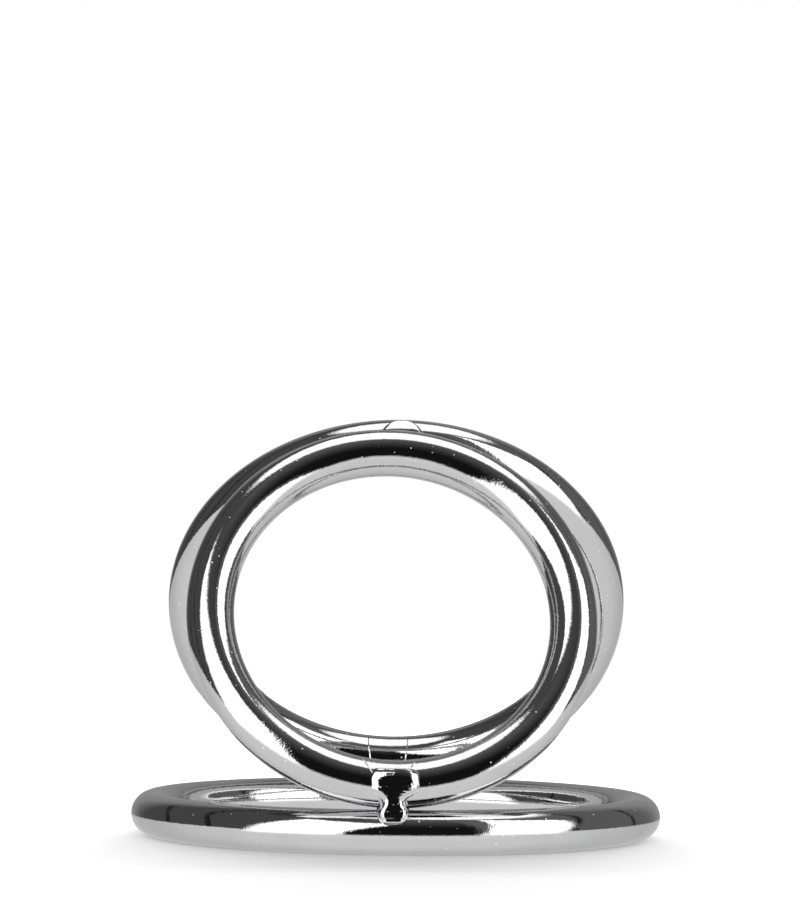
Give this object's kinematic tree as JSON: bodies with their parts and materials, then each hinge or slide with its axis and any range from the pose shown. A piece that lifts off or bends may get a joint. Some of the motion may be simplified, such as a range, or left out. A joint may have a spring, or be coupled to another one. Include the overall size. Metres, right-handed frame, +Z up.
{
  "type": "welded ring puzzle frame",
  "caption": "Rigid three-sided frame of polished round-bar rings: a flat base ring with a smaller ring and a medium ring leaning together and welded at the top.",
  "frame": {"origin": "centre of the flat base ring, on the surface that it lies on", "axes": "+Z up; +Y from the front joint to the rear joint; +X along the bars at the joints, to the right as seen from the front"},
  "size_m": [0.062, 0.0624, 0.0487],
  "materials": {
    "base_ring_chrome": "mirror polished",
    "front_ring_chrome": "mirror polished",
    "rear_ring_chrome": "mirror polished",
    "closure_weld_chrome": "polished weld with fine toe lines",
    "joint_weld_chrome": "bright weld bead with ripples and small nodules"
  },
  "bodies": {
    "root": {"base_ring": "base_ring_chrome", "front_ring": "front_ring_chrome", "rear_ring": "rear_ring_chrome", "base_ring_closure_weld": "closure_weld_chrome", "front_ring_closure_weld": "closure_weld_chrome", "rear_ring_closure_weld": "closure_weld_chrome", "front_joint_outer_weld": "joint_weld_chrome", "front_joint_inner_weld": "joint_weld_chrome", "rear_joint_inner_weld": "joint_weld_chrome", "rear_joint_outer_weld": "joint_weld_chrome", "top_joint_upper_weld": "joint_weld_chrome", "top_joint_lower_weld": "joint_weld_chrome"}
  },
  "joints": []
}
